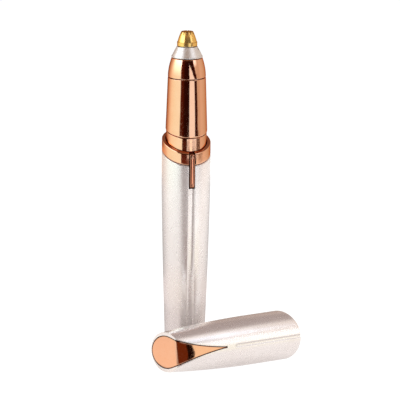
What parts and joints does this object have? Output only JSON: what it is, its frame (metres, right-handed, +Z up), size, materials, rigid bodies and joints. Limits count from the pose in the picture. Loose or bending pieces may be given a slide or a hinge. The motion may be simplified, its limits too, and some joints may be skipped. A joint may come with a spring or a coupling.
{
  "type": "electric eyebrow trimmer",
  "caption": "Pen-shaped electric eyebrow trimmer standing on its barrel, with a slide switch, a slotted rotary cutter head, a cell in the barrel and its slant-mouthed cap lying in front.",
  "frame": {"origin": "centre of the flat foot that the barrel stands on", "axes": "+Z up along the trimmer towards the cutter tip; +X along the lying cap from its closed end to its mouth; -Y is the side on which the cap lies"},
  "size_m": [0.0505, 0.0544, 0.1104],
  "materials": {
    "pearl_shell": "pearlescent white with a soft rosy sheen",
    "rose_gold": "metallised rose gold, mirror polished",
    "gold_guard": "polished yellow gold plating",
    "silver_trim": "satin silver",
    "steel": "plain bright steel",
    "blade_steel": "ground steel edges",
    "spring_steel": "nickel plated spring steel",
    "brass": "bare brass contact",
    "black_plastic": "moulded black",
    "white_plastic": "moulded off-white",
    "rubber": "soft black rubber",
    "board": "green solder mask",
    "cell_jacket": "plain dark grey metal jacket",
    "lead_red": "red insulation",
    "lead_black": "black insulation"
  },
  "bodies": {
    "barrel": {"barrel_shell": "pearl_shell", "battery_cell": "cell_jacket", "battery_spring": "spring_steel", "return_strip": "spring_steel"},
    "upper_unit": {"collar_ring": "rose_gold", "cap_seat": "rose_gold", "neck_shell": "rose_gold", "chassis": "black_plastic", "plus_contact": "brass", "return_stud": "brass", "plug_seal": "rubber", "circuit_board": "board", "switch_block": "black_plastic", "board_screw_left": "steel", "board_screw_right": "steel", "motor_can": "steel", "motor_end_cap": "white_plastic", "motor_terminal_left": "brass", "motor_terminal_right": "brass", "motor_lead_left": "lead_red", "motor_lead_right": "lead_black", "motor_cradle": "black_plastic", "head_spigot": "white_plastic", "head_seal": "rubber"},
    "switch": {"switch_bar": "rose_gold", "switch_carriage": "white_plastic", "switch_wiper": "brass"},
    "drive": {"motor_shaft": "steel", "drive_socket": "white_plastic", "drive_spring": "spring_steel"},
    "head": {"head_shell": "rose_gold", "head_core": "white_plastic", "bezel_cone": "silver_trim", "guard_tip": "gold_guard"},
    "cutter": {"cutter_shaft": "steel", "rotary_cutter": "blade_steel"},
    "cap": {"cap_shell": "pearl_shell", "cap_insert": "rose_gold"}
  },
  "joints": [
    {"name": "upper_lift", "type": "slide", "parent": "barrel", "child": "upper_unit", "axis": [0, 0, 1], "range_m": [0, 0.02]},
    {"name": "power_slide", "type": "slide", "parent": "upper_unit", "child": "switch", "axis": [0, 0, 1], "range_m": [0, 0.0022]},
    {"name": "motor_spin", "type": "hinge", "parent": "upper_unit", "child": "drive", "pos_m": [0, 0, 0.0943], "axis": [0, 0, 1], "continuous": true},
    {"name": "head_lift", "type": "slide", "parent": "upper_unit", "child": "head", "axis": [0, 0, 1], "range_m": [0, 0.012]},
    {"name": "cutter_spin", "type": "hinge", "parent": "head", "child": "cutter", "pos_m": [0, 0, 0.1], "axis": [0, 0, 1], "continuous": true},
    {"name": "cap_slide", "type": "slide", "parent": "barrel", "child": "cap", "axis": [1, 0, 0], "range_m": [0, 0.05]}
  ],
  "couplings": [
    {"joint": "cutter_spin", "follows": "motor_spin", "ratio": 1}
  ]
}
